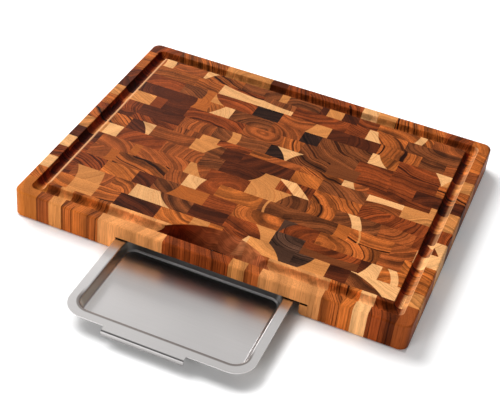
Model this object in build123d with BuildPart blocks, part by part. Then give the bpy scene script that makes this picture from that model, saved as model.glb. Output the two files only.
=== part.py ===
"""End-grain teak cutting board with a pressed steel tray that slides under its front edge.

Millimetres. X runs along the front of the board, Y from its front to its back, Z up.
The origin is the middle of the board's underside, and the board lies on Z = 0.
The tray stands pulled out to the front, in -Y.
"""

import os
from math import cos, hypot, radians, tan

from build123d import *

# ---------------------------------------------------------------- driving dimensions

# the board
BOARD_WIDTH = 508.0
BOARD_DEPTH = 396.0
BOARD_HEIGHT = 37.5
BOARD_CORNER_RADIUS = 11.0
BOARD_EDGE_RADIUS = 2.5

# the glued rows of upright blocks, from the front to the back
FRONT_ROW_DEPTH = 35.0
NARROW_ROW_DEPTH = 13.0
ROWS_BEFORE_NARROW = 7
ROWS_BEHIND_NARROW = 7
FRONT_BLOCK_WIDTHS = (32.0, 17.0, 17.0, 15.0, 20.0, 15.0, 85.0, 85.0, 20.0, 18.0, 77.0, 23.0, 15.0, 18.0, 51.0)
STRIP_BLOCK_WIDTHS = (38.0, 62.0, 47.0, 78.0, 29.0, 55.0, 83.0, 34.0, 58.0, 44.0, 26.0, 71.0)
STRIP_SLIDE = 137.0
LEAST_END_BLOCK = 16.0

# the juice groove
GROOVE_INSET = 15.0
GROOVE_WIDTH = 15.0
GROOVE_DEPTH = 8.0
GROOVE_BOTTOM_RADIUS = 6.8
GROOVE_EASE = 0.6

# the scoop behind the front groove, part of a ball, open to the bay at its foot
SCOOP_CENTRE_X = 2.0
SCOOP_REACH = 38.5
SCOOP_OUTLINE_RADIUS = 102.0
SCOOP_BALL_RISE = 90.0

# the tray
SHEET = 1.0
TRAY_WIDTH = 229.0
TRAY_LENGTH = 158.0
TRAY_CORNER_RADIUS = 26.0
TRAY_PULLED_OUT = 136.0
FLANGE_WIDTH_FRONT = 13.5
PAN_OVER_TABLE = 2.8
PAN_DRAFT = 16.0
PAN_CORNER_RADIUS = 16.0
PAN_FLOOR_RADIUS = 3.0
RIM_BEND_RADIUS = 1.5
TAB_WIDTH = 100.0
TAB_REACH = 8.0
TAB_OFF_CENTRE = -8.0
TAB_CORNER_RADIUS = 1.5
LIP_DROP = 7.5
LIP_BEND_RADIUS = 1.0
LIP_CORNER_RADIUS = 2.0

# the bay under the front edge: an open channel with a slot along its sides and back
BAY_CENTRE_X = 9.5
BAY_CORNER_RADIUS = 12.0
BAY_FOOT_RADIUS = 5.0
SLOT_BOTTOM_Z = 16.8
SLOT_LEDGE = 10.5

# how the tray lies in the bay
RUNNING_GAP = 0.3
SLOT_HEADROOM = 1.7
TRAY_SIDE_PLAY = 17.5
TRAY_LEFT_GAP = 0.5
TRAY_BACK_GAP = 2.75
LEDGE_TO_PAN = 2.0

# how far a cutter runs past the surface that it opens
OVERRUN = 5.0

# ---------------------------------------------------------------- derived sizes and places

half_width = BOARD_WIDTH / 2
front_y = -BOARD_DEPTH / 2
back_y = BOARD_DEPTH / 2
plain_rows = ROWS_BEFORE_NARROW + ROWS_BEHIND_NARROW
plain_row_depth = (BOARD_DEPTH - FRONT_ROW_DEPTH - NARROW_ROW_DEPTH) / plain_rows

groove_side = GROOVE_WIDTH / 2
groove_mouth = groove_side + GROOVE_EASE
groove_round = min(GROOVE_BOTTOM_RADIUS, groove_side - GROOVE_EASE, GROOVE_DEPTH - 2 * GROOVE_EASE)
groove_x = half_width - GROOVE_INSET - groove_side
groove_front_y = front_y + GROOVE_INSET + groove_side
groove_back_y = back_y - GROOVE_INSET - groove_side

scoop_ball_radius = hypot(SCOOP_OUTLINE_RADIUS, SCOOP_BALL_RISE)
scoop_ball_centre = (
    SCOOP_CENTRE_X,
    front_y + GROOVE_INSET + SCOOP_REACH - SCOOP_OUTLINE_RADIUS,
    BOARD_HEIGHT + SCOOP_BALL_RISE,
)

slot_width = TRAY_WIDTH + TRAY_SIDE_PLAY
slot_depth = TRAY_LENGTH + TRAY_BACK_GAP
slot_height = RUNNING_GAP + SHEET + SLOT_HEADROOM
slot_top_z = SLOT_BOTTOM_Z + slot_height
channel_width = slot_width - 2 * SLOT_LEDGE
channel_depth = slot_depth - SLOT_LEDGE

flange_bottom_z = SLOT_BOTTOM_Z + RUNNING_GAP
flange_top_z = flange_bottom_z + SHEET
flange_width_side = SLOT_LEDGE + LEDGE_TO_PAN
tray_x = BAY_CENTRE_X - slot_width / 2 + TRAY_LEFT_GAP + TRAY_WIDTH / 2
tray_front_y = front_y - TRAY_PULLED_OUT
tray_centre_y = tray_front_y + TRAY_LENGTH / 2

pan_depth = flange_bottom_z - PAN_OVER_TABLE
pan_width = TRAY_WIDTH - 2 * flange_width_side
pan_length = TRAY_LENGTH - FLANGE_WIDTH_FRONT - flange_width_side
pan_centre_y = tray_front_y + FLANGE_WIDTH_FRONT + pan_length / 2
pan_wall = SHEET / cos(radians(PAN_DRAFT))
pan_foot_corner = PAN_CORNER_RADIUS - pan_depth * tan(radians(PAN_DRAFT))
pan_floor_round = min(PAN_FLOOR_RADIUS, 0.9 * pan_foot_corner)

tab_x = tray_x + TAB_OFF_CENTRE
tab_fold = SHEET + LIP_BEND_RADIUS
lip_front_y = tray_front_y - TAB_REACH
lip_bottom_z = flange_top_z - LIP_DROP


# ---------------------------------------------------------------- cutters for the groove and scoop

# the right side of the groove's cross-section from its bottom up, with the top arris eased
groove_right = [
    (groove_side, -GROOVE_DEPTH),
    (groove_side, -GROOVE_EASE),
    (groove_mouth, 0),
    (groove_mouth, OVERRUN),
]
groove_left = [(-x, y) for x, y in reversed(groove_right)]


def groove_run(start, across, along, length):
    """A straight run of the groove's cutter between the centres of two corners."""
    with BuildPart() as run:
        with BuildSketch(Plane(origin=start, x_dir=across, z_dir=along)) as section:
            with BuildLine():
                Polyline(*groove_left, *groove_right, close=True)
            make_face()
            fillet(section.vertices().group_by(Axis.Y)[0], groove_round)
        extrude(amount=length)
    return run.part


cross_runs = [
    groove_run((-groove_x, y, BOARD_HEIGHT), (0, 1, 0), (1, 0, 0), 2 * groove_x)
    for y in (groove_front_y, groove_back_y)
]
side_runs = [
    groove_run((x, groove_front_y, BOARD_HEIGHT), (-1, 0, 0), (0, 1, 0), groove_back_y - groove_front_y)
    for x in (-groove_x, groove_x)
]
groove_corners = [
    (x, y, BOARD_HEIGHT) for x in (-groove_x, groove_x) for y in (groove_front_y, groove_back_y)
]

with BuildPart() as groove_corner:
    with BuildSketch(Plane.XZ) as half_section:
        with BuildLine():
            Polyline((0, OVERRUN), (0, -GROOVE_DEPTH), *groove_right, close=True)
        make_face()
        bottom_corner = half_section.vertices().group_by(Axis.Y)[0].sort_by(Axis.X)[-1]
        fillet(bottom_corner, groove_round)
    revolve(axis=Axis.Z)

with BuildPart() as scoop_ball:
    with Locations(scoop_ball_centre):
        Sphere(scoop_ball_radius)
    # the scoop starts at the groove's front wall and ends inside the bay
    with Locations((SCOOP_CENTRE_X, front_y + GROOVE_INSET, slot_top_z - OVERRUN)):
        Box(
            2 * scoop_ball_radius,
            scoop_ball_radius,
            BOARD_HEIGHT - slot_top_z + 2 * OVERRUN,
            align=(Align.CENTER, Align.MIN, Align.MIN),
            mode=Mode.INTERSECT,
        )


# ---------------------------------------------------------------- the board before its joints

def bay_plan(width, depth):
    """An outline of the bay seen from above, open through the board's front face."""
    with BuildSketch(Plane.XY) as plan:
        with Locations((BAY_CENTRE_X, front_y - OVERRUN)):
            Rectangle(width, depth + OVERRUN, align=(Align.CENTER, Align.MIN))
        fillet(plan.vertices().group_by(Axis.Y)[-1], BAY_CORNER_RADIUS)
    return plan.sketch


def borders_channel(edge):
    """Whether an edge of the underside runs along the channel and not along the outside."""
    off_middle = abs(edge.center().X - BAY_CENTRE_X)
    behind_front = edge.center().Y - front_y
    reach = 2 * BAY_FOOT_RADIUS
    return off_middle < channel_width / 2 + reach and behind_front < channel_depth + reach


with BuildPart() as blank:
    with BuildSketch(Plane.XY):
        RectangleRounded(BOARD_WIDTH, BOARD_DEPTH, BOARD_CORNER_RADIUS)
    extrude(amount=BOARD_HEIGHT)

    # the open channel that the pan hangs in, and the slot that carries the flange
    with BuildSketch(Plane.XY):
        add(bay_plan(channel_width, channel_depth))
    extrude(amount=slot_top_z, mode=Mode.SUBTRACT)
    with BuildSketch(Plane.XY.offset(SLOT_BOTTOM_Z)):
        add(bay_plan(slot_width, slot_depth))
    extrude(amount=slot_height, mode=Mode.SUBTRACT)

    # rounded feet along the channel, then the rounded outer edges
    fillet(blank.edges().group_by(Axis.Z)[0].filter_by(borders_channel), BAY_FOOT_RADIUS)
    low_edges = blank.edges().group_by(Axis.Z)[0]
    high_edges = blank.edges().group_by(Axis.Z)[-1]
    fillet(high_edges + (low_edges - low_edges.filter_by(borders_channel)), BOARD_EDGE_RADIUS)

    # the groove with its corners, then the scoop
    add(cross_runs + side_runs, mode=Mode.SUBTRACT)
    with Locations(groove_corners):
        add(groove_corner.part, mode=Mode.SUBTRACT)
    add(scoop_ball.part, mode=Mode.SUBTRACT)


# ---------------------------------------------------------------- the glued blocks

def glue_joints(widths, slide):
    """X of a row's glue joints, for a strip of these widths slid to the left by this much."""
    joints = []
    x = -half_width - slide
    piece = 0
    while x < half_width - LEAST_END_BLOCK:
        if x > -half_width + LEAST_END_BLOCK:
            joints.append(x)
        x += widths[piece % len(widths)]
        piece += 1
    return joints


def row_joints(number):
    """The glue joints of a row. Every other strip is turned end for end before it is glued."""
    if number == 0:
        return glue_joints(FRONT_BLOCK_WIDTHS, 0)
    slide = number * STRIP_SLIDE % sum(STRIP_BLOCK_WIDTHS)
    if number % 2 == 0:
        return glue_joints(STRIP_BLOCK_WIDTHS[::-1], slide)
    return glue_joints(STRIP_BLOCK_WIDTHS, slide)


def cut_out(stock, x_range, y_range):
    """The part of the stock between two limits in X and two limits in Y."""
    with BuildPart() as piece:
        add(stock)
        with Locations((x_range[0], y_range[0], 0)):
            Box(
                x_range[1] - x_range[0],
                y_range[1] - y_range[0],
                BOARD_HEIGHT,
                align=Align.MIN,
                mode=Mode.INTERSECT,
            )
    return piece.part


os.makedirs("parts", exist_ok=True)

row_depths = [FRONT_ROW_DEPTH]
row_depths += [plain_row_depth] * ROWS_BEFORE_NARROW
row_depths += [NARROW_ROW_DEPTH]
row_depths += [plain_row_depth] * ROWS_BEHIND_NARROW

row_front_y = front_y
for number, depth in enumerate(row_depths):
    y_range = (row_front_y, row_front_y + depth)
    row_slab = cut_out(blank.part, (-half_width, half_width), y_range)
    limits = [-half_width] + row_joints(number) + [half_width]
    blocks = []
    for x_range in zip(limits, limits[1:]):
        blocks += cut_out(row_slab, x_range, y_range).solids()
    row_name = f"block_row_{number + 1:02d}"
    # blocks that touch stay separate solids, so the row is a compound of them
    block_row = Compound(label=row_name, children=blocks)
    export_step(block_row, f"parts/{row_name}.step")
    row_front_y += depth


# ---------------------------------------------------------------- the tray

def pan_shape(grown, depth, floor_radius):
    """The pan as a solid, grown all round at its mouth, with drafted walls and a round floor edge."""
    with BuildPart() as pan:
        with BuildSketch(Plane.XY.offset(flange_top_z)):
            with Locations((tray_x, pan_centre_y)):
                RectangleRounded(pan_width + 2 * grown, pan_length + 2 * grown, PAN_CORNER_RADIUS + grown)
        extrude(amount=-depth, taper=PAN_DRAFT)
        fillet(pan.faces().sort_by(Axis.Z)[0].edges(), floor_radius)
    return pan.part


def mouth_edges(edges, height):
    """The edges at this height that run round the pan's mouth, not round the flange's outside."""
    level = edges.filter_by_position(Axis.Z, height - SHEET / 2, height + SHEET / 2)
    return level.filter_by(
        lambda edge: abs(edge.center().X - tray_x) < pan_width / 2 + 2 * pan_wall
        and abs(edge.center().Y - pan_centre_y) < pan_length / 2 + 2 * pan_wall
    )


with BuildPart() as lip:
    # the front of the tab, folded down
    with BuildSketch(Plane.YZ.offset(tab_x - TAB_WIDTH / 2)) as lip_section:
        with Locations((lip_front_y, flange_top_z)):
            Rectangle(tab_fold, LIP_DROP, align=(Align.MIN, Align.MAX))
        with Locations((lip_front_y + SHEET, flange_bottom_z)):
            Rectangle(tab_fold - SHEET, LIP_DROP, align=(Align.MIN, Align.MAX), mode=Mode.SUBTRACT)
        high_corners = lip_section.vertices().group_by(Axis.Y)[-1]
        inner_corners = lip_section.vertices().group_by(Axis.Y)[-2]
        fillet(high_corners.sort_by(Axis.X)[0], tab_fold)
        fillet(inner_corners.sort_by(Axis.X)[0], LIP_BEND_RADIUS)
    extrude(amount=TAB_WIDTH)
    low_corners = lip.edges().filter_by(Axis.Y).group_by(Axis.Z)[0]
    fillet(low_corners, LIP_CORNER_RADIUS)

with BuildPart() as tray:
    # the flange with the flat of its tab
    with BuildSketch(Plane.XY.offset(flange_bottom_z)) as flange_plan:
        with Locations((tray_x, tray_centre_y)):
            RectangleRounded(TRAY_WIDTH, TRAY_LENGTH, TRAY_CORNER_RADIUS)
        with Locations((tab_x, lip_front_y + tab_fold)):
            Rectangle(TAB_WIDTH, 2 * TAB_REACH, align=(Align.CENTER, Align.MIN))
        tab_roots = flange_plan.vertices().filter_by(
            lambda corner: abs(corner.Y - tray_front_y) < SHEET / 2
            and abs(corner.X - tab_x) < TAB_WIDTH / 2 + SHEET
        )
        fillet(tab_roots, TAB_CORNER_RADIUS)
    extrude(amount=SHEET)

    # the pan, with a bend where its walls leave the flange
    add(pan_shape(pan_wall, pan_depth + SHEET, pan_floor_round + SHEET))
    fillet(mouth_edges(tray.edges(), flange_bottom_z), RIM_BEND_RADIUS)
    add(pan_shape(0, pan_depth, pan_floor_round), mode=Mode.SUBTRACT)
    fillet(mouth_edges(tray.edges(), flange_top_z), RIM_BEND_RADIUS + SHEET)

    add(lip.part)

tray.part.label = "tray"
export_step(tray.part, "parts/tray.step")
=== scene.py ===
"""Looks of an end-grain teak cutting board with a stainless steel tray.

Metres. +X along the board's front, +Y to its back, +Z up, origin under its middle.
"""
import math
import random

import bpy
import numpy as np
from mathutils import Matrix, Vector

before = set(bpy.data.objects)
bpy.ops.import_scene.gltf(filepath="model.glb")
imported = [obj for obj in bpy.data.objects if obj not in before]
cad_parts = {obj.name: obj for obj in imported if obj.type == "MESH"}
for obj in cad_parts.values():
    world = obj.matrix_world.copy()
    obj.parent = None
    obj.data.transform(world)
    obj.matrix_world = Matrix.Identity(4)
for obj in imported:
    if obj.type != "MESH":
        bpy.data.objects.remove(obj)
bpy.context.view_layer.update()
scene = bpy.context.scene
MM = 0.001

# ---------------------------------------------------------------- blocks, in millimetres
# The board, its rows and the strips that they are cut from, as in the solids. Each row's strip
# is slid by STRIP_SLIDE more than the one before, and every second one is turned round.
BOARD_WIDTH = 508
BOARD_DEPTH = 396
FRONT_ROW_DEPTH = 35
NARROW_ROW_DEPTH = 13
NARROW_ROW = 9
ROW_COUNT = 16
FRONT_BLOCK_WIDTHS = (32, 17, 17, 15, 20, 15, 85, 85, 20, 18, 77, 23, 15, 18, 51)
STRIP_BLOCK_WIDTHS = (38, 62, 47, 78, 29, 55, 83, 34, 58, 44, 26, 71)
STRIP_SLIDE = 137
LEAST_END_BLOCK = 16

# Wood of each block from left to right, front row first. d dark, k nearly black, b blackish
# with rings, r red brown, g grey brown, o orange, p orange without rings, s striped, m middle
# brown, h honey, t tan, l sapwood
ROW_WOODS = (
    "pmtsoshrtmhsolr",
    "osdortbdgt",
    "rmsgdrbrdo",
    "rodgrsrsmo",
    "rmsmroggsml",
    "dmmmrgsgmr",
    "trmgdrsrr",
    "sdmgddogmt",
    "rrmrsmsmrt",
    "ordmgkgrrd",
    "ttdrmsgrrs",
    "ddogmkgort",
    "rgrkmddsgm",
    "ossrgrrsgo",
    "ommsggdrsmo",
    "rsstrrrtsro",
)

# Sapwood, or another tone, beyond an arc: row, block, a point of the arc, the way out of
# the heartwood in degrees, the arc's radius, tone, and how far the tone goes
SAPWOOD = (
    (1, 15, 236, -180, 0, 200, "m", 60),
    (2, 1, -200, -150, 0, 80, "t", 60),
    (2, 4, -39, -145, 0, 90, "t", 22),
    (2, 5, 28, -150, -25, 90, "l", 60),
    (2, 6, 72, -150, 40, 60, "b", 60),
    (2, 7, 112, -152, -30, 60, "t", 60),
    (2, 9, 190, -148, 60, 80, "l", 60),
    (3, 1, -238, -126, 180, 90, "l", 60),
    (3, 2, -205, -124, 20, 50, "t", 34),
    (3, 4, -92, -120, 215, 60, "l", 80),
    (3, 6, 42, -126, 32, 60, "t", 60),
    (3, 8, 130, -127, -90, 200, "g", 60),
    (3, 9, 177, -125, -20, 90, "l", 60),
    (3, 10, 205, -120, 30, 40, "l", 9),
    (4, 4, -83, -100, -20, 60, "o", 60),
    (4, 7, 72, -95, 140, 60, "b", 60),
    (5, 1, -238, -76, 180, 90, "l", 60),
    (5, 2, -189, -76, 0, 60, "o", 60),
    (5, 5, -59, -76, 170, 60, "l", 60),
    (5, 7, 30, -76, 180, 40, "t", 3),
    (5, 8, 122, -76, 0, 70, "o", 60),
    (5, 9, 150, -70, 20, 45, "t", 2.5),
    (6, 3, -157, -51, 180, 80, "o", 60),
    (6, 4, -73, -51, 213, 150, "t", 60),
    (6, 6, 43, -51, 152, 70, "t", 60),
    (6, 8, 133, -50, 28, 60, "l", 12),
    (6, 10, 240, -50, 38, 90, "l", 60),
    (7, 2, -197, -26, 180, 300, "l", 60),
    (7, 5, -6, -36, -45, 40, "t", 60),
    (7, 6, 38, -26, 50, 300, "l", 15),
    (8, 2, -174, 2, 35, 50, "l", 60),
    (8, 4, -76, -1, 150, 100, "t", 60),
    (8, 9, 160, 0, 94, 300, "l", 60),
    (8, 10, 210, 1, 94, 300, "t", 60),
    (9, 4, -75, 17, 180, 80, "t", 60),
    (9, 8, 114, 17, 205, 80, "l", 60),
    (10, 5, -64, 34, 0, 30, "t", 12),
    (10, 6, 9, 36, 35, 60, "l", 60),
    (10, 7, 23, 36, 150, 50, "l", 60),
    (10, 8, 112, 36, 180, 60, "g", 60),
    (11, 2, -192, 60, 0, 300, "r", 60),
    (12, 2, -140, 86, 0, 37, "o", 60),
    (12, 3, -106, 86, -30, 120, "l", 60),
    (12, 8, 129, 88, 213, 70, "l", 60),
    (12, 9, 208, 88, 30, 100, "l", 60),
    (12, 10, 223, 88, 148, 100, "l", 60),
    (13, 2, -135, 110, 0, 42, "o", 60),
    (13, 3, -116, 111, 218, 50, "t", 60),
    (13, 5, 22, 112, -20, 90, "t", 60),
    (14, 4, -91, 141, -97, 200, "l", 60),
    (14, 5, -38, 135, -97, 200, "l", 60),
    (14, 8, 112, 131, 205, 80, "l", 60),
    (15, 2, -219, 155, 0, 30, "l", 15),
    (15, 4, -148, 155, 150, 60, "l", 60),
    (15, 6, -41, 155, 0, 200, "t", 12),
    (15, 7, 30, 155, 0, 200, "t", 22),
    (15, 9, 158, 150, -20, 60, "l", 10),
    (16, 3, -135, 185, 0, 300, "t", 60),
    (16, 4, -66, 185, 0, 300, "d", 60),
    (16, 7, 71, 185, 0, 300, "l", 60),
)

# Rings that carry on over several blocks: middle and reach of the patch, pith, spacing
SWIRLS = (
    (-177, 92, 62, -177, 92, 4.6),
    (-85, 165, 48, -85, 192, 3.8),
    (5, 146, 42, 3, 146, 3.4),
    (-40, 68, 48, -33, 70, 2.8),
    (-28, -65, 66, -28, -62, 5.0),
    (112, -112, 62, 112, -108, 4.4),
    (30, -100, 36, 48, -96, 4.6),
    (98, 160, 34, 100, 178, 3.8),
    (135, 115, 40, 20, 110, 5.5),
    (65, 60, 50, 190, 138, 3.2),
    (150, 45, 40, 150, -60, 7.0),
    (190, 110, 36, 215, 160, 4.0),
    (-150, -85, 40, -230, -165, 5.5),
    (-205, -5, 30, -105, 61, 5.0),
    (90, -35, 40, 0, -60, 4.2),
    (205, -60, 40, 120, -20, 4.0),
)

# Their rings are ovals, this much narrower over the board's depth than over its width
SWIRL_SQUASH = 0.62

# Linear colours by the letters above
TONES = {
    "d": (0.082, 0.016, 0.004),
    "k": (0.026, 0.010, 0.006),
    "b": (0.068, 0.029, 0.016),
    "r": (0.222, 0.042, 0.008),
    "m": (0.292, 0.067, 0.014),
    "g": (0.180, 0.047, 0.012),
    "o": (0.415, 0.105, 0.018),
    "s": (0.365, 0.088, 0.016),
    "p": (0.450, 0.130, 0.021),
    "h": (0.640, 0.255, 0.080),
    "t": (0.600, 0.225, 0.060),
    "l": (0.810, 0.410, 0.160),
}
# Strength of the dark ring lines by tone
LINES = {
    "d": 0.6, "k": 0.9, "b": 1.0, "r": 0.8, "m": 0.7, "g": 0.85,
    "o": 0.65, "s": 1.0, "p": 0.12, "h": 0.18, "t": 0.3, "l": 0.12,
}
# The front row's lines are softer, but for its striped blocks
FRONT_ROW_LINES = 0.8
# How far the rings wander, in the patches and in the first and last rows
SWIRL_WANDER = 1.25
END_ROW_WANDER = 0.5
# The radius of an arc that no block reaches
NO_SAPWOOD = 9000


def glue_joints(widths, slide):
    """Where one row is cut into blocks, over the board's width."""
    joints = []
    x = -BOARD_WIDTH / 2 - slide
    place = 0
    while x < BOARD_WIDTH / 2 - LEAST_END_BLOCK:
        if x > -BOARD_WIDTH / 2 + LEAST_END_BLOCK:
            joints.append(x)
        x += widths[place % len(widths)]
        place += 1
    return joints


def row_joints(number):
    """Glue joints of a row, counted from 1 at the front."""
    if number == 1:
        return glue_joints(FRONT_BLOCK_WIDTHS, 0)
    forward = number % 2 == 0
    widths = STRIP_BLOCK_WIDTHS if forward else STRIP_BLOCK_WIDTHS[::-1]
    return glue_joints(widths, (number - 1) * STRIP_SLIDE % sum(STRIP_BLOCK_WIDTHS))


def row_spans():
    """Front and back of each row."""
    usual = (BOARD_DEPTH - FRONT_ROW_DEPTH - NARROW_ROW_DEPTH) / (ROW_COUNT - 2)
    spans = []
    y = -BOARD_DEPTH / 2
    for number in range(1, ROW_COUNT + 1):
        depth = {1: FRONT_ROW_DEPTH, NARROW_ROW: NARROW_ROW_DEPTH}.get(number, usual)
        spans.append((y, y + depth))
        y += depth
    return spans


def swirl_at(x, y):
    """The nearest patch of rings whose reach holds the point, or None."""
    near = []
    for place, (middle_x, middle_y, reach, *_) in enumerate(SWIRLS):
        share = math.hypot(x - middle_x, y - middle_y) / reach
        if share < 1:
            near.append((share, place))
    return min(near)[1] if near else None


def growth_of(rng, number, x, y, at_rim):
    """Where the block at (x, y) grew: pith, ring spacing, seed, wander and squash."""
    swirl = swirl_at(x, y)
    if swirl is not None:
        pith_x, pith_y, spacing = SWIRLS[swirl][3:]
        pith_x += rng.uniform(-3, 3)
        pith_y += rng.uniform(-3, 3)
        seed = 7.0 * swirl + rng.uniform(0, 0.25)
        return pith_x, pith_y, spacing, seed, SWIRL_WANDER, SWIRL_SQUASH
    reach = rng.uniform(40, 110)
    way = rng.uniform(0, 2 * math.pi)
    end_row = number in (1, ROW_COUNT)
    # at the rim the pith lies along it, so that lines stand close on the faces that show
    if end_row:
        way = rng.choice((0.35, -0.35, math.pi - 0.3, math.pi + 0.4))
    elif at_rim:
        way = rng.choice((1.3, 1.8, -1.3, -1.8))
    spacing = rng.choice((4.0, 5.0, 6.5) if number == 1 else (2.6, 3.2, 4.0, 5.2))
    seed = rng.uniform(0, 50)
    wander = END_ROW_WANDER if end_row else rng.uniform(0.6, 1.5)
    return x + reach * math.cos(way), y + reach * math.sin(way), spacing, seed, wander, 1.0


def block_looks(number, block, x, y, at_rim):
    """A block's attributes: heart, sap, pith, figure and arc, as the teak reads them."""
    rng = random.Random(1000 * number + block)
    letter = ROW_WOODS[number - 1][block - 1]
    shade = rng.uniform(0.86, 1.14)
    pith_x, pith_y, spacing, seed, wander, squash = growth_of(rng, number, x, y, at_rim)
    arc_x, arc_y, radius, sap_letter, wide = pith_x, pith_y, NO_SAPWOOD, "l", NO_SAPWOOD
    for row, column, at_x, at_y, degrees, *rest in SAPWOOD:
        if (row, column) == (number, block):
            radius, sap_letter, wide = rest
            arc_x = at_x - radius * math.cos(math.radians(degrees))
            arc_y = at_y - radius * math.sin(math.radians(degrees))
    soft = number == 1 and letter != "s"
    lines = (FRONT_ROW_LINES if soft else 1.0) * LINES[letter] * rng.uniform(0.8, 1.15)
    pale = rng.uniform(0.90, 1.06)
    return (
        (*(value * shade for value in TONES[letter]), lines),
        (*(value * pale for value in TONES[sap_letter]), wide * MM),
        (pith_x * MM, pith_y * MM, seed),
        (spacing * MM, radius * MM, wander),
        (arc_x * MM, arc_y * MM, squash),
    )


def paint_row(row_object, number, span):
    """Gives each block of a row its own piece of the tree, as attributes of its faces."""
    mesh = row_object.data
    joints = row_joints(number)
    edges = [-BOARD_WIDTH / 2, *joints, BOARD_WIDTH / 2]
    middle_y = (span[0] + span[1]) / 2
    looks = [
        block_looks(number, block, (left + right) / 2, middle_y, block in (1, len(joints) + 1))
        for block, (left, right) in enumerate(zip(edges, edges[1:]), start=1)
    ]
    centres = np.empty(3 * len(mesh.polygons), np.float32)
    mesh.polygons.foreach_get("center", centres)
    block_of = np.searchsorted(np.array(joints) * MM, centres[::3])
    kinds = (
        ("heart", "FLOAT_COLOR", "color"),
        ("sap", "FLOAT_COLOR", "color"),
        ("pith", "FLOAT_VECTOR", "vector"),
        ("figure", "FLOAT_VECTOR", "vector"),
        ("arc", "FLOAT_VECTOR", "vector"),
    )
    for (name, kind, field), values in zip(kinds, zip(*looks)):
        layer = mesh.attributes.new(name, kind, "FACE")
        layer.data.foreach_set(field, np.array(values, np.float32)[block_of].ravel())


# ---------------------------------------------------------------- shader graphs
class Graph:
    """A material, with short calls for making its nodes. A plain colour is three values."""

    def __init__(self, name):
        self.material = bpy.data.materials.new(name)
        self.material.use_nodes = True
        self.tree = self.material.node_tree
        self.tree.nodes.clear()
        self.output = self.add("ShaderNodeOutputMaterial")
        self.place = self.add("ShaderNodeTexCoord").outputs["Object"]
        self.x, self.y, self.z = self.split(self.place)

    def add(self, kind, **settings):
        node = self.tree.nodes.new(kind)
        for key, value in settings.items():
            setattr(node, key, value)
        return node

    def put(self, value, socket):
        if isinstance(value, bpy.types.NodeSocket):
            self.tree.links.new(value, socket)
        else:
            socket.default_value = value

    def math(self, operation, a, b=0.0, clamp=False):
        node = self.add("ShaderNodeMath", operation=operation, use_clamp=clamp)
        for socket, value in zip(node.inputs, (a, b)):
            self.put(value, socket)
        return node.outputs[0]

    def product(self, *factors):
        result = factors[0]
        for factor in factors[1:]:
            result = self.math("MULTIPLY", result, factor)
        return result

    def inside(self, value, low, high):
        """One where a value lies between two others, else zero."""
        return self.product(
            self.math("GREATER_THAN", value, low), self.math("LESS_THAN", value, high)
        )

    def vector(self, operation, a, b=(0, 0, 0)):
        node = self.add("ShaderNodeVectorMath", operation=operation)
        self.put(a, node.inputs[0])
        self.put(b, node.inputs[1])
        return node.outputs["Value" if operation == "LENGTH" else "Vector"]

    def scaled(self, vector, factor):
        node = self.add("ShaderNodeVectorMath", operation="SCALE")
        self.put(vector, node.inputs[0])
        self.put(factor, node.inputs["Scale"])
        return node.outputs["Vector"]

    def split(self, vector):
        node = self.add("ShaderNodeSeparateXYZ")
        self.put(vector, node.inputs[0])
        return node.outputs[0], node.outputs[1], node.outputs[2]

    def join(self, x, y, z=0.0):
        node = self.add("ShaderNodeCombineXYZ")
        for socket, value in zip(node.inputs, (x, y, z)):
            self.put(value, socket)
        return node.outputs[0]

    def noise(self, scale, vector=None, w=None, detail=2.0, roughness=0.5, colour=False):
        kind = "1D" if vector is None else "3D" if w is None else "4D"
        node = self.add("ShaderNodeTexNoise", noise_dimensions=kind)
        if vector is not None:
            self.put(vector, node.inputs["Vector"])
        if w is not None:
            self.put(w, node.inputs["W"])
        self.put(scale, node.inputs["Scale"])
        self.put(detail, node.inputs["Detail"])
        self.put(roughness, node.inputs["Roughness"])
        return node.outputs["Color" if colour else "Fac"]

    def ramp(self, value, low, high, out_low=0.0, out_high=1.0):
        node = self.add("ShaderNodeMapRange", interpolation_type="SMOOTHSTEP")
        for socket, item in zip(node.inputs, (value, low, high, out_low, out_high)):
            self.put(item, socket)
        return node.outputs[0]

    def mix(self, factor, a, b, blend="MIX"):
        node = self.add("ShaderNodeMix", data_type="RGBA", blend_type=blend)
        self.put(factor, node.inputs["Factor"])
        for socket, colour in zip(node.inputs[6:8], (a, b)):
            self.put((*colour, 1) if isinstance(colour, tuple) else colour, socket)
        return node.outputs[2]

    def tinted(self, colour, tint):
        return self.mix(1.0, colour, tint, "MULTIPLY")

    def attribute(self, name, output="Vector"):
        node = self.add("ShaderNodeAttribute", attribute_name=name)
        return node.outputs[output]

    def normal(self):
        """The way the surface faces, on the three axes."""
        return self.split(self.add("ShaderNodeNewGeometry").outputs["Normal"])

    def bump(self, height, distance, strength):
        node = self.add("ShaderNodeBump")
        self.put(height, node.inputs["Height"])
        self.put(distance, node.inputs["Distance"])
        self.put(strength, node.inputs["Strength"])
        return node.outputs["Normal"]

    def beyond(self, centre, half_width, half_length, corner):
        """How far a place lies outside an upright rounded box, less than nothing inside."""
        reach = []
        for value, middle, half in zip((self.x, self.y), centre, (half_width, half_length)):
            off = self.math("ABSOLUTE", self.math("SUBTRACT", value, middle))
            reach.append(self.math("SUBTRACT", off, half - corner))
        outer = self.join(*(self.math("MAXIMUM", item, 0.0) for item in reach))
        inner = self.math("MINIMUM", self.math("MAXIMUM", *reach), 0.0)
        past = self.math("ADD", self.vector("LENGTH", outer), inner)
        return self.math("SUBTRACT", past, corner)

    def surface(self, **inputs):
        shader = self.add("ShaderNodeBsdfPrincipled")
        for name, value in inputs.items():
            self.put(value, shader.inputs[name.replace("_", " ")])
        self.tree.links.new(shader.outputs[0], self.output.inputs[0])


# ---------------------------------------------------------------- teak, in metres
# How far a trunk's rings sway, and how far the edge of its sapwood does
RING_SWAY = 0.030
SAP_EDGE_SWAY = 0.004
SAP_EDGE_SOFTNESS = 0.0004
# Close to the pith there are no lines, then they fade in
PLAIN_PITH = (0.010, 0.028)
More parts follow.
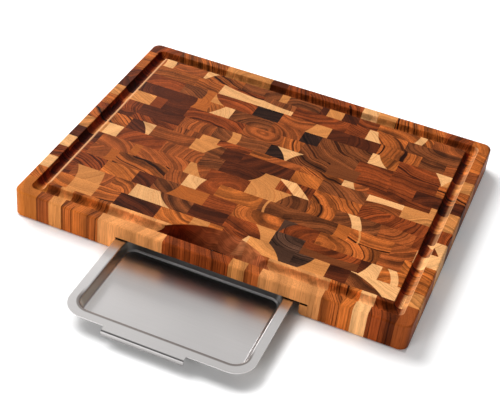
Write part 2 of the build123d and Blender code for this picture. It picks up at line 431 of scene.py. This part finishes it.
# Repeats of the finest figure in a metre, over the width, the depth and the height
FLECKS = (520, 520, 40)
VESSELS = (1150, 1150, 45)
LINE_TINT = (0.055, 0.035, 0.03)
SAP_LINE_TINT = (0.6, 0.45, 0.35)
VESSEL_TINT = (0.35, 0.27, 0.22)
# The outer walls of the groove, from the board's middle
GROOVE_OUTER_HALF_WIDTH = 0.2396
GROOVE_OUTER_HALF_DEPTH = 0.1836
# Its inner walls at the sides and the back, and where its front run gives way to the sides
SIDE_GROOVE_FROM = 0.2232
BACK_GROOVE_FROM = 0.1672
FRONT_RUN_END = (-0.172, -0.162)
# Its upper edge, where the groove's painted shade and painted sheen begin
GROOVE_TOP = (0.0366, 0.0373)
# The scoop's round outline, as in the solids
SCOOP_CENTRE = (0.002, -0.2465, 0)
SCOOP_RADIUS = 0.1022
SCOOP_TOP = 0.0372
SCOOP_BROWN = (0.33, 0.090, 0.032)
# Tint of the painted shade in the groove and at the scoop's left
GROOVE_SHADE_TINT = (0.260, 0.060, 0.022)
# Tone of the painted highlight on walls that face left
PAINTED_HIGHLIGHT_TONE = (0.90, 0.47, 0.22)
# Heights where the painted highlight on the walls begins and is full, and the strip of top
# beside the groove that gets it too
HIGHLIGHT_HEIGHTS = (0.0335, 0.0366)
HIGHLIGHT_STRIP = (-0.2242, -0.2230, -0.2205)
HIGHLIGHT_STRIP_FRONT = (-0.166, -0.160)
# The slot that carries the tray, painted in shade: its height, its depth, its reach to each side
# and the shade's tone
SLOT_HEIGHTS = (0.0166, 0.0199)
SLOT_DEPTHS = (-0.1976, -0.15)
SLOT_REACH = 0.14
SLOT_SHADE_TONE = (0.012, 0.005, 0.003)


class Teak(Graph):
    """Oiled teak: rings round each block's pith on top, so upright grain on the sides."""

    def __init__(self):
        super().__init__("oiled_teak")
        self.draw_rings()
        wood = self.with_sapwood(self.heartwood())
        # vessels: dots on the end grain, short upright strokes on the sides
        stretched = self.vector("MULTIPLY", self.place, VESSELS)
        vessels = self.noise(1.0, stretched, detail=2.0, roughness=0.6)
        dark = self.tinted(wood, VESSEL_TINT)
        wood = self.mix(self.ramp(vessels, 0.5, 0.72, 0.0, 0.45), wood, dark)
        wood = self.dark_slot(self.with_hollows(wood))
        height = self.math("SUBTRACT", self.math("MULTIPLY", self.line, -0.35), vessels)
        self.surface(
            Base_Color=wood,
            Roughness=self.ramp(vessels, 0.3, 0.7, 0.38, 0.5),
            Normal=self.bump(height, 0.00025, 0.5),
            IOR=1.46,
            Specular_IOR_Level=0.04,
        )

    def draw_rings(self):
        """Distance to the pith, dark lines, and the finer and slower changes of growth."""
        pith_x, pith_y, seed = self.split(self.attribute("pith"))
        spacing, self.sap_from, wander = self.split(self.attribute("figure"))
        squash = self.split(self.attribute("arc"))[2]
        # the trunk's rings wander, and hardly change along the grain
        slow = self.vector("MULTIPLY", self.place, (1, 1, 0.12))
        sway = self.noise(15.0, slow, w=seed, detail=2.5, colour=True)
        sway = self.vector("SUBTRACT", sway, (0.5, 0.5, 0.5))
        slightly = self.vector("MULTIPLY", sway, (SAP_EDGE_SWAY, SAP_EDGE_SWAY, 0))
        self.bent = self.vector("ADD", self.place, slightly)
        reach = self.math("MULTIPLY", wander, RING_SWAY)
        swayed = self.vector("ADD", self.place, self.vector("MULTIPLY", sway, self.join(reach, reach)))
        off_pith = self.vector("SUBTRACT", swayed, self.join(pith_x, pith_y))
        oval = self.vector("MULTIPLY", off_pith, self.join(squash, 1.0))
        self.radius = self.vector("LENGTH", oval)
        rings = self.math("ADD", self.math("DIVIDE", self.radius, spacing), seed)
        uneven = self.math("MULTIPLY", self.noise(0.55, w=rings, detail=1.0), 2.2)
        count = self.math("ADD", rings, uneven)
        turn = self.math("FRACT", count)
        each = self.math("ADD", self.math("FLOOR", count), 0.5)
        self.line = self.product(
            self.ramp(turn, 0.0, 0.08),
            self.ramp(turn, 0.14, 0.42, 1.0, 0.0),
            self.ramp(self.noise(1.0, w=each, detail=0.0), 0.3, 0.6, 0.35, 1.0),
        )
        # darker and paler spells of growth, clouds, fibres and flecks
        self.spell = self.noise(0.32, w=rings, detail=3.0, roughness=0.6)
        flat = self.vector("MULTIPLY", self.place, (1, 1, 0.2))
        self.cloud = self.noise(48.0, flat, w=seed, detail=3.0)
        self.fibre = self.noise(4.0, w=rings, detail=2.0, roughness=0.7)
        flecks = self.vector("MULTIPLY", self.place, FLECKS)
        self.fleck = self.noise(1.0, flecks, detail=3.0, roughness=0.65)

    def heartwood(self):
        tone = self.attribute("heart", "Color")
        lines = self.attribute("heart", "Alpha")
        shade = self.math(
            "ADD",
            self.ramp(self.spell, 0.3, 0.7, 0.52, 1.45),
            self.ramp(self.cloud, 0.3, 0.7, -0.22, 0.22),
        )
        shade = self.product(
            shade,
            self.ramp(self.fibre, 0.25, 0.75, 0.80, 1.20),
            self.ramp(self.fleck, 0.3, 0.7, 0.82, 1.18),
        )
        # woods with faint lines are plainer in all
        figured = self.math("ADD", lines, 0.25, clamp=True)
        change = self.math("MULTIPLY", self.math("SUBTRACT", shade, 1.0), figured)
        heart = self.scaled(tone, self.math("ADD", change, 1.0))
        strength = self.math("MULTIPLY", lines, self.ramp(self.radius, *PLAIN_PITH))
        amount = self.math("MULTIPLY", self.line, strength, clamp=True)
        return self.mix(amount, heart, self.tinted(heart, LINE_TINT))

    def with_sapwood(self, wood):
        """Sapwood, or another tone, in a band beyond the block's arc."""
        sap = self.scaled(self.attribute("sap", "Color"), self.ramp(self.spell, 0.3, 0.7, 0.88, 1.1))
        fine = self.math("MULTIPLY", self.fibre, self.fleck)
        sap = self.tinted(sap, self.ramp(fine, 0.12, 0.40, 0.88, 1.08))
        dark = self.tinted(sap, SAP_LINE_TINT)
        sap = self.mix(self.math("MULTIPLY", self.line, 0.45), sap, dark)
        off_arc = self.vector("SUBTRACT", self.bent, self.attribute("arc"))
        off_arc = self.vector("LENGTH", self.vector("MULTIPLY", off_arc, (1, 1, 0)))
        past = self.math("SUBTRACT", off_arc, self.sap_from)
        left = self.math("SUBTRACT", past, self.attribute("sap", "Alpha"))
        band = self.product(
            self.ramp(past, -SAP_EDGE_SOFTNESS, SAP_EDGE_SOFTNESS),
            self.ramp(left, -SAP_EDGE_SOFTNESS, SAP_EDGE_SOFTNESS, 1.0, 0.0),
        )
        return self.mix(band, wood, sap)

    def with_hollows(self, wood):
        """Painted shade, sheen and highlight in the groove and the scoop.

        The groove has painted shade where it faces right or back, as in the photograph, and the
        scoop has painted shade at its left. Walls that face left get a painted highlight, as do
        their arrises.
        """
        out_x = self.math("ABSOLUTE", self.x)
        out_y = self.math("ABSOLUTE", self.y)
        facing_x, facing_y, _ = self.normal()
        enclosed = self.product(
            self.math("LESS_THAN", out_x, GROOVE_OUTER_HALF_WIDTH),
            self.math("LESS_THAN", out_y, GROOVE_OUTER_HALF_DEPTH),
        )
        deep = self.product(enclosed, self.ramp(self.z, *GROOVE_TOP, 1.0, 0.0))
        sideways = self.math("GREATER_THAN", out_x, SIDE_GROOVE_FROM)
        backmost = self.math("GREATER_THAN", self.y, BACK_GROOVE_FROM)
        at_left = self.product(sideways, self.math("LESS_THAN", self.x, 0.0))
        # the scoop
        off_scoop = self.vector("MULTIPLY", self.place, (1, 1, 0))
        off_scoop = self.vector("LENGTH", self.vector("SUBTRACT", off_scoop, SCOOP_CENTRE))
        in_scoop = self.math("LESS_THAN", off_scoop, SCOOP_RADIUS)
        brown = self.tinted(SCOOP_BROWN, self.ramp(self.fibre, 0.25, 0.75, 0.7, 1.3))
        below_top = self.math("LESS_THAN", self.z, SCOOP_TOP)
        wood = self.mix(self.product(in_scoop, enclosed, below_top, 0.85), wood, brown)
        scoop = self.product(in_scoop, self.ramp(self.x, -0.050, 0.045, 1.0, 0.15))
        # soft lighter and darker mottles in the groove, a painted patchy sheen
        mottle = self.ramp(self.noise(95.0, self.place, detail=1.5), 0.35, 0.65, 0.78, 1.28)
        wood = self.mix(deep, wood, self.scaled(wood, mottle))
        # painted shade on the groove's sides that face right or back, a little more of it at the left,
        # and on the scoop's left
        away = self.math("MULTIPLY", facing_x, sideways)
        away = self.math("ADD", away, self.math("MULTIPLY", facing_y, backmost))
        away = self.math("ADD", away, self.math("MULTIPLY", at_left, 0.11))
        groove = self.product(
            self.ramp(away, -0.25, 0.35),
            self.ramp(self.y, *FRONT_RUN_END),
            self.math("SUBTRACT", 1.0, in_scoop),
        )
        painted_groove_shade = self.product(deep, self.math("MAXIMUM", groove, scoop), 0.97)
        wood = self.mix(painted_groove_shade, wood, self.tinted(wood, GROOVE_SHADE_TINT))
        # painted highlight on walls that face left, stronger at the left, and on a strip of top beside
        # the left groove
        painted_wall_highlight = self.product(
            enclosed,
            sideways,
            self.ramp(facing_x, -0.5, -0.08, 1.0, 0.0),
            self.ramp(self.z, *HIGHLIGHT_HEIGHTS, 0.40, 0.82),
            self.ramp(self.x, -0.1, 0.1, 1.0, 0.55),
        )
        strip_edge, strip_full, strip_end = HIGHLIGHT_STRIP
        strip = self.product(
            enclosed,
            self.math("GREATER_THAN", self.x, strip_edge),
            self.ramp(self.x, strip_full, strip_end, 0.72, 0.0),
            self.math("LESS_THAN", self.y, BACK_GROOVE_FROM),
            self.ramp(self.y, *HIGHLIGHT_STRIP_FRONT),
        )
        return self.mix(self.math("MAXIMUM", painted_wall_highlight, strip), wood, PAINTED_HIGHLIGHT_TONE)

    def dark_slot(self, wood):
        """Painted shade in the slot that carries the tray, where little light gets far in."""
        slot = self.product(
            self.inside(self.z, *SLOT_HEIGHTS),
            self.inside(self.y, *SLOT_DEPTHS),
            self.inside(self.x, -SLOT_REACH, SLOT_REACH),
        )
        return self.mix(slot, wood, SLOT_SHADE_TONE)


# ---------------------------------------------------------------- steel and floor, in metres
# The mouth of the tray's pan, and the tray's whole outline
PAN_CENTRE = (0.00125, -0.2545)
PAN_HALF_WIDTH = 0.102
PAN_HALF_LENGTH = 0.066
PAN_CORNER = 0.016
TRAY_CENTRE = (0.00125, -0.255)
TRAY_HALF_WIDTH = 0.1145
TRAY_HALF_LENGTH = 0.079
TRAY_CORNER = 0.026
# Steel's two tones; painted shade for the pan's back wall, a painted reflection for its left wall,
# a painted highlight for the bend round its floor and painted shade for the rim
STEEL_TONES = ((0.665, 0.64, 0.63), (0.705, 0.68, 0.67))
BACK_WALL_SHADE = (0.02, 0.018, 0.017)
LEFT_WALL_REFLECTION = (1.0, 0.90, 0.76)
BEND_HIGHLIGHT = (0.97, 0.95, 0.94)
RIM_SHADE_TINT = (0.42, 0.385, 0.365)
# The rim's painted dark line of shade, outwards from the pan's mouth, and where along the tray it ends
RIM_INSIDE = (-0.0002, 0.0004)
RIM_OUTSIDE = (0.0030, 0.0046)
RIM_ENDS = (-0.306, -0.286)
# The heights of the bend round the pan's floor, and of the lip and the crease above it, where
# the painted highlight and painted shade lie
BEND_FOOT = (0.0040, 0.0046)
BEND_TOP = (0.0058, 0.0070)
LIP_FRONT = -0.3402
LIP_HEIGHTS = (0.0105, 0.0165)
CREASE_FOOT = (0.0166, 0.0169)
CREASE_TOP = (0.0174, 0.0178)
# The floor's own glow, less of it near the board as painted shadow: close to the board at its left
# and right, and away from it
BOARD_GLOW = (0.27, 0.17)
FREE_GLOW = 0.34


def steel():
    """Satin stainless steel, with painted shade, reflection and highlight on the pan, rim and lip."""
    g = Graph("satin_stainless")
    facing_x, facing_y, _ = g.normal()
    tint = g.mix(g.ramp(g.noise(9.0, g.place, detail=2.0), 0.3, 0.7), *STEEL_TONES)
    stretched = g.vector("MULTIPLY", g.place, (14, 900, 900))
    brushed = g.noise(1.0, stretched, detail=3.0, roughness=0.7)
    tint = g.tinted(tint, g.ramp(brushed, 0.3, 0.7, 0.985, 1.015))
    # painted shade on the pan's back wall, a painted warm reflection on its left wall, and a painted
    # highlight on the bend round its floor
    past = g.beyond(PAN_CENTRE, PAN_HALF_WIDTH, PAN_HALF_LENGTH, PAN_CORNER)
    in_pan = g.math("LESS_THAN", past, 0.0005)
    back_wall = g.product(in_pan, g.ramp(facing_y, -0.92, -0.70, 1.0, 0.0), 0.66)
    tint = g.mix(back_wall, tint, BACK_WALL_SHADE)
    tint = g.mix(g.product(in_pan, g.ramp(facing_x, 0.60, 0.90)), tint, LEFT_WALL_REFLECTION)
    bend = g.product(in_pan, g.ramp(g.z, *BEND_FOOT), g.ramp(g.z, *BEND_TOP, 1.0, 0.0))
    tint = g.mix(bend, tint, BEND_HIGHLIGHT)
    # painted shade along the front rim, darker than the flats beside it
    rim = g.product(
        g.ramp(past, *RIM_INSIDE),
        g.ramp(past, *RIM_OUTSIDE, 1.0, 0.0),
        g.ramp(g.y, *RIM_ENDS, 1.0, 0.0),
    )
    tint = g.mix(rim, tint, g.tinted(tint, RIM_SHADE_TINT))
    # and painted shade on the lip, darker towards its foot, and on the crease above it
    crease = g.product(g.ramp(g.z, *CREASE_FOOT), g.ramp(g.z, *CREASE_TOP, 1.0, 0.0), 0.40)
    level = g.math("SUBTRACT", g.ramp(g.z, *LIP_HEIGHTS, 0.40, 0.78), crease)
    tint = g.mix(g.math("LESS_THAN", g.y, LIP_FRONT), tint, g.tinted(tint, level))
    g.surface(Base_Color=tint, Metallic=1.0, Roughness=0.31)
    return g.material


def floor_paper():
    """A pale floor that the camera sees as white, with painted shadow where its glow fades near the
    board and the tray.
    """
    g = Graph("pale_floor")
    grain = g.noise(40.0, g.place, detail=2.0)
    diffuse = g.add("ShaderNodeBsdfDiffuse")
    g.put(g.mix(grain, (0.89, 0.89, 0.89), (0.91, 0.91, 0.91)), diffuse.inputs["Color"])
    # only the camera and reflections see the glow, and there is little of it close to the board and
    # the tray's rest place: a painted shadow round them, which stays there when the tray moves
    path = g.add("ShaderNodeLightPath")
    seen = g.math("MAXIMUM", path.outputs["Is Camera Ray"], path.outputs["Is Glossy Ray"])
    off_board = g.beyond((0, 0), BOARD_WIDTH / 2 * MM, BOARD_DEPTH / 2 * MM, 0.001)
    off_tray = g.beyond(TRAY_CENTRE, TRAY_HALF_WIDTH, TRAY_HALF_LENGTH, TRAY_CORNER)
    close = g.ramp(g.x, 0.05, 0.25, *BOARD_GLOW)
    strength = g.product(
        seen,
        g.ramp(off_board, 0.015, 0.060, close, FREE_GLOW),
        g.math("GREATER_THAN", off_board, 0.0),
        g.ramp(off_tray, 0.001, 0.024),
    )
    glow = g.add("ShaderNodeEmission")
    g.put(strength, glow.inputs["Strength"])
    both = g.add("ShaderNodeAddShader")
    g.tree.links.new(diffuse.outputs[0], both.inputs[0])
    g.tree.links.new(glow.outputs[0], both.inputs[1])
    g.tree.links.new(both.outputs[0], g.output.inputs[0])
    return g.material


def dress(node, material):
    """Gives a CAD piece one material."""
    node.data.materials.clear()
    node.data.materials.append(material)


teak = Teak().material
for number, span in enumerate(row_spans(), start=1):
    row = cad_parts["block_row_%02d" % number]
    paint_row(row, number, span)
    dress(row, teak)
dress(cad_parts["tray"], steel())

bpy.ops.mesh.primitive_plane_add(size=60, location=(0, 0, -0.0002))
floor = bpy.context.object
floor.name = "floor"
floor.data.materials.append(floor_paper())

# ---------------------------------------------------------------- light
# A studio with a wide pale screen above and behind the board's left, and a dim front: the
# way to the screen, how squarely it is faced where its edge begins and ends, and the levels
SCREEN_WAY = Vector((-0.45, 0.65, 0.62)).normalized()
SCREEN_EDGE = (0.05, 0.95)
SCREEN_LEVELS = (0.07, 0.73)
# Kind, name, place, watts or the sun's strength, size or the sun's angle, seen in the steel
LAMPS = (
    ("SUN", "key_left", (-0.63, 0.30, 0.72), 2.8, 34, False),
    ("AREA", "streak_back_left", (-1.3, 1.85, 1.05), 8, 0.4, True),
    ("AREA", "fill_front", (-0.7, -2.4, 0.7), 42, 1.4, False),
)


def light_studio():
    """The world's light: one wide screen."""
    world = bpy.data.worlds.new("studio")
    world.use_nodes = True
    scene.world = world
    sky = world.node_tree
    toward = sky.nodes.new("ShaderNodeVectorMath")
    toward.operation = "DOT_PRODUCT"
    toward.inputs[1].default_value = SCREEN_WAY
    sky.links.new(sky.nodes.new("ShaderNodeTexCoord").outputs["Generated"], toward.inputs[0])
    level = sky.nodes.new("ShaderNodeMapRange")
    level.interpolation_type = "SMOOTHSTEP"
    for socket, value in zip(level.inputs[1:5], (*SCREEN_EDGE, *SCREEN_LEVELS)):
        socket.default_value = value
    sky.links.new(toward.outputs["Value"], level.inputs[0])
    background = sky.nodes["Background"].inputs
    background["Color"].default_value = (1, 1, 1, 1)
    sky.links.new(level.outputs[0], background["Strength"])


def add_lamp(kind, name, place, power, spread, reflected):
    """A lamp that faces the middle of the board."""
    data = bpy.data.lights.new(name, kind)
    data.energy = power
    if kind == "SUN":
        data.angle = math.radians(spread)
    else:
        data.shape = "SQUARE"
        data.size = spread
    holder = bpy.data.objects.new(name, data)
    holder.location = place
    holder.rotation_euler = Vector(place).to_track_quat("Z", "Y").to_euler()
    holder.visible_glossy = reflected
    scene.collection.objects.link(holder)


light_studio()
for lamp in LAMPS:
    add_lamp(*lamp)

# ---------------------------------------------------------------- camera
# Metres and degrees: where it stands, and the way it looks, as worked out from the photograph
CAMERA_PLACE = (0.3632, -1.1549, 0.9421)
AZIMUTH, ELEVATION, ROLL = 18.193, 38.489, 6.938
LENS = 84.46


def add_camera():
    """The photograph's camera."""
    azimuth, elevation, roll = (math.radians(a) for a in (AZIMUTH, ELEVATION, ROLL))
    back = Vector((
        math.sin(azimuth) * math.cos(elevation),
        -math.cos(azimuth) * math.cos(elevation),
        math.sin(elevation),
    ))
    level = Vector((0, 0, 1)).cross(back).normalized()
    upright = back.cross(level)
    right = math.cos(roll) * level + math.sin(roll) * upright
    up = -math.sin(roll) * level + math.cos(roll) * upright
    data = bpy.data.cameras.new("camera")
    data.lens = LENS
    camera = bpy.data.objects.new("camera", data)
    turned = Matrix((right, up, back)).transposed().to_4x4()
    camera.matrix_world = Matrix.Translation(CAMERA_PLACE) @ turned
    scene.collection.objects.link(camera)
    scene.camera = camera


add_camera()
scene.view_settings.view_transform = "Standard"
